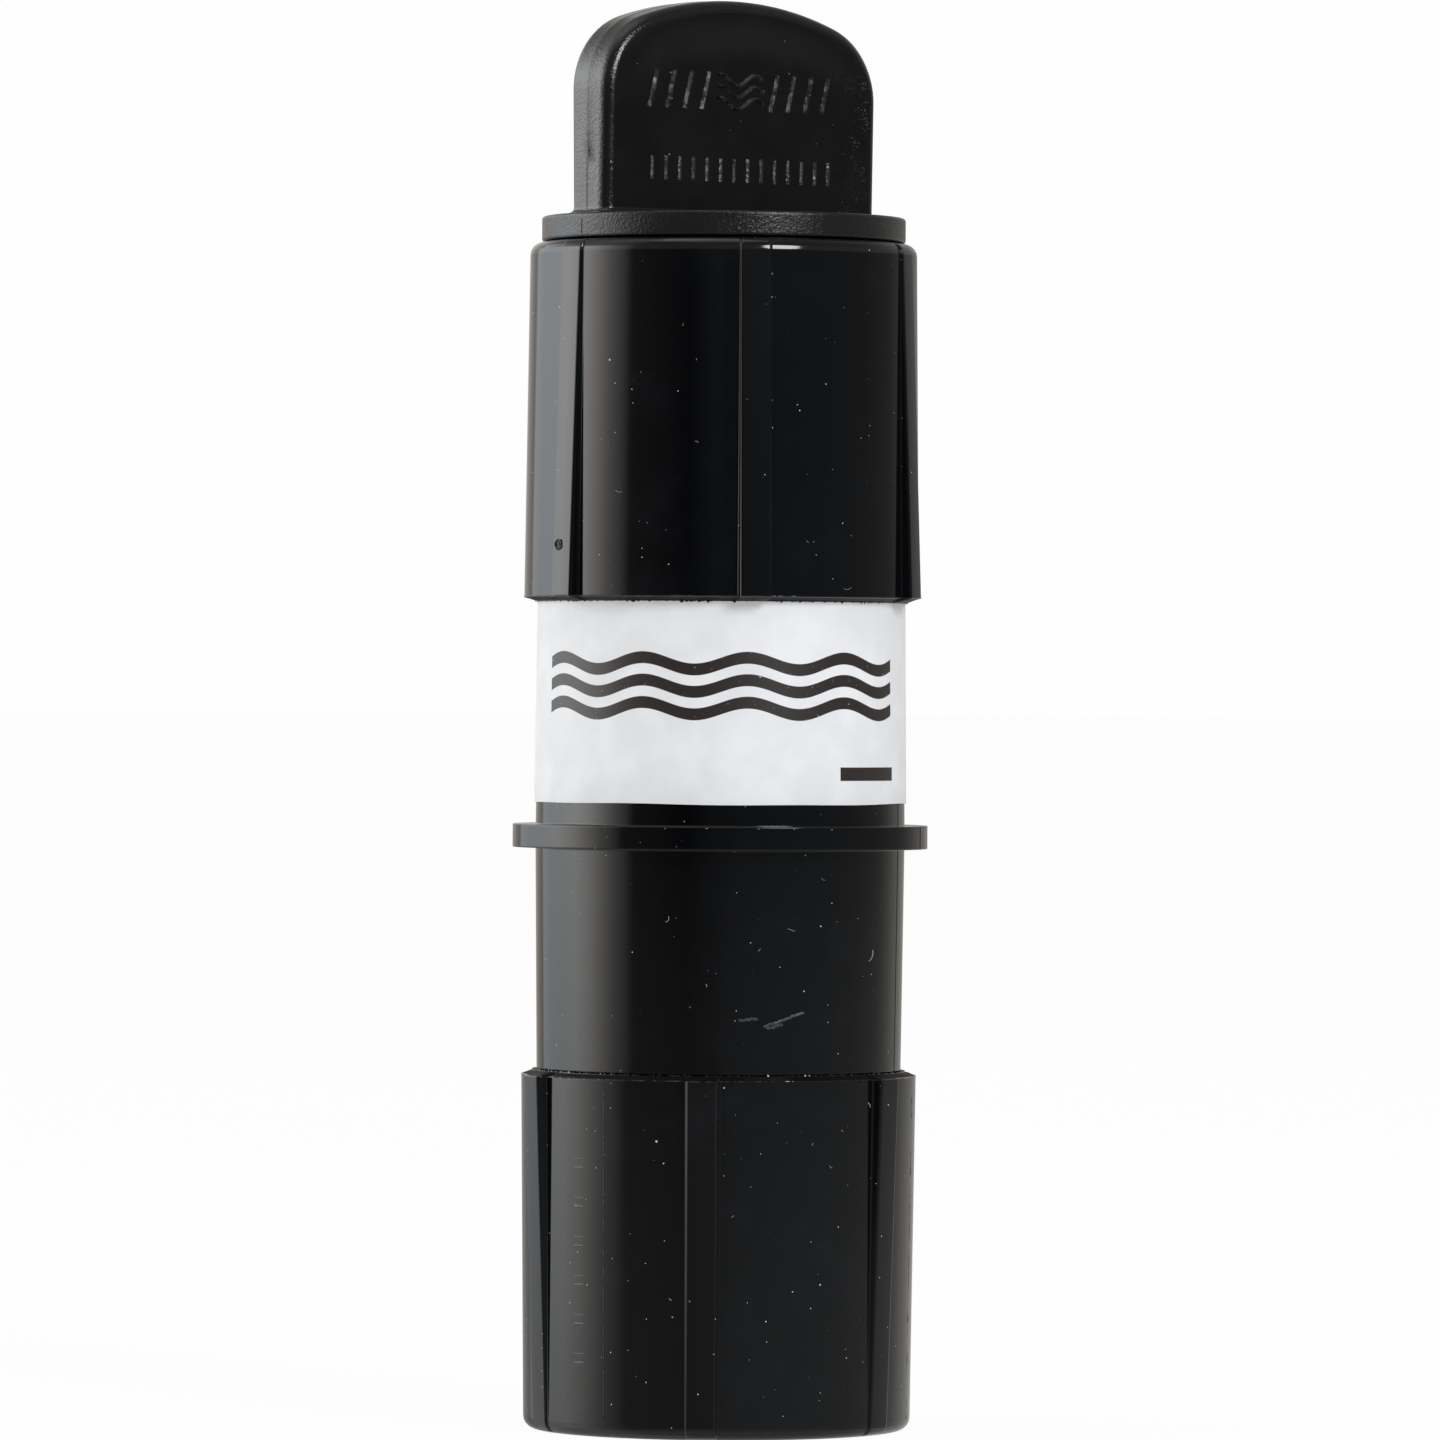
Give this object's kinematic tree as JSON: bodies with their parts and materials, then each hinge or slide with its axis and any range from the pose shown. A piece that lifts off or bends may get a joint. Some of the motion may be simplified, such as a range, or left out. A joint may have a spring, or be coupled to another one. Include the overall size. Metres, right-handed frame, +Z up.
{
  "type": "drip tube coupling with flush plug",
  "caption": "Round black push-fit coupling for half-inch drip tube, with ribbed end collars, a mid flange, a paper label and a screw-in flush plug with a flat thumb tab.",
  "frame": {"origin": "centre of the lower collar's rim, on the axis", "axes": "+Z up the common axis towards the thumb tab; +X to the right and -Y towards the viewer who faces the label's front"},
  "size_m": [0.0266, 0.0266, 0.0919],
  "materials": {
    "gloss_black_plastic": "polished moulding, glossy",
    "satin_black_plastic": "satin moulding, fine spark-eroded texture on the edges",
    "white_acetal": "plain moulding",
    "black_rubber": "dull",
    "white_paper": "coated label paper"
  },
  "bodies": {
    "fitting": {"coupling_barrel": "gloss_black_plastic", "upper_collar": "gloss_black_plastic", "lower_collar": "gloss_black_plastic", "label": "white_paper", "upper_grip_ring": "white_acetal", "lower_grip_ring": "white_acetal", "upper_spacer": "satin_black_plastic", "lower_spacer": "satin_black_plastic", "upper_seal": "black_rubber", "lower_seal": "black_rubber", "plug_adapter": "satin_black_plastic"},
    "plug_seal": {"plug_o_ring": "black_rubber"},
    "plug": {"flush_plug": "satin_black_plastic"}
  },
  "joints": [
    {"name": "plug_rise", "type": "slide", "parent": "fitting", "child": "plug_seal", "axis": [0, 0, 1], "range_m": [0, 0.0098]},
    {"name": "plug_turn", "type": "hinge", "parent": "plug_seal", "child": "plug", "pos_m": [0, 0, 0.0765], "axis": [0, 0, 1], "range_deg": [0, 1170]}
  ],
  "couplings": [
    {"joint": "plug_rise", "follows": "plug_turn", "m_per_rad": 0.00047746}
  ]
}
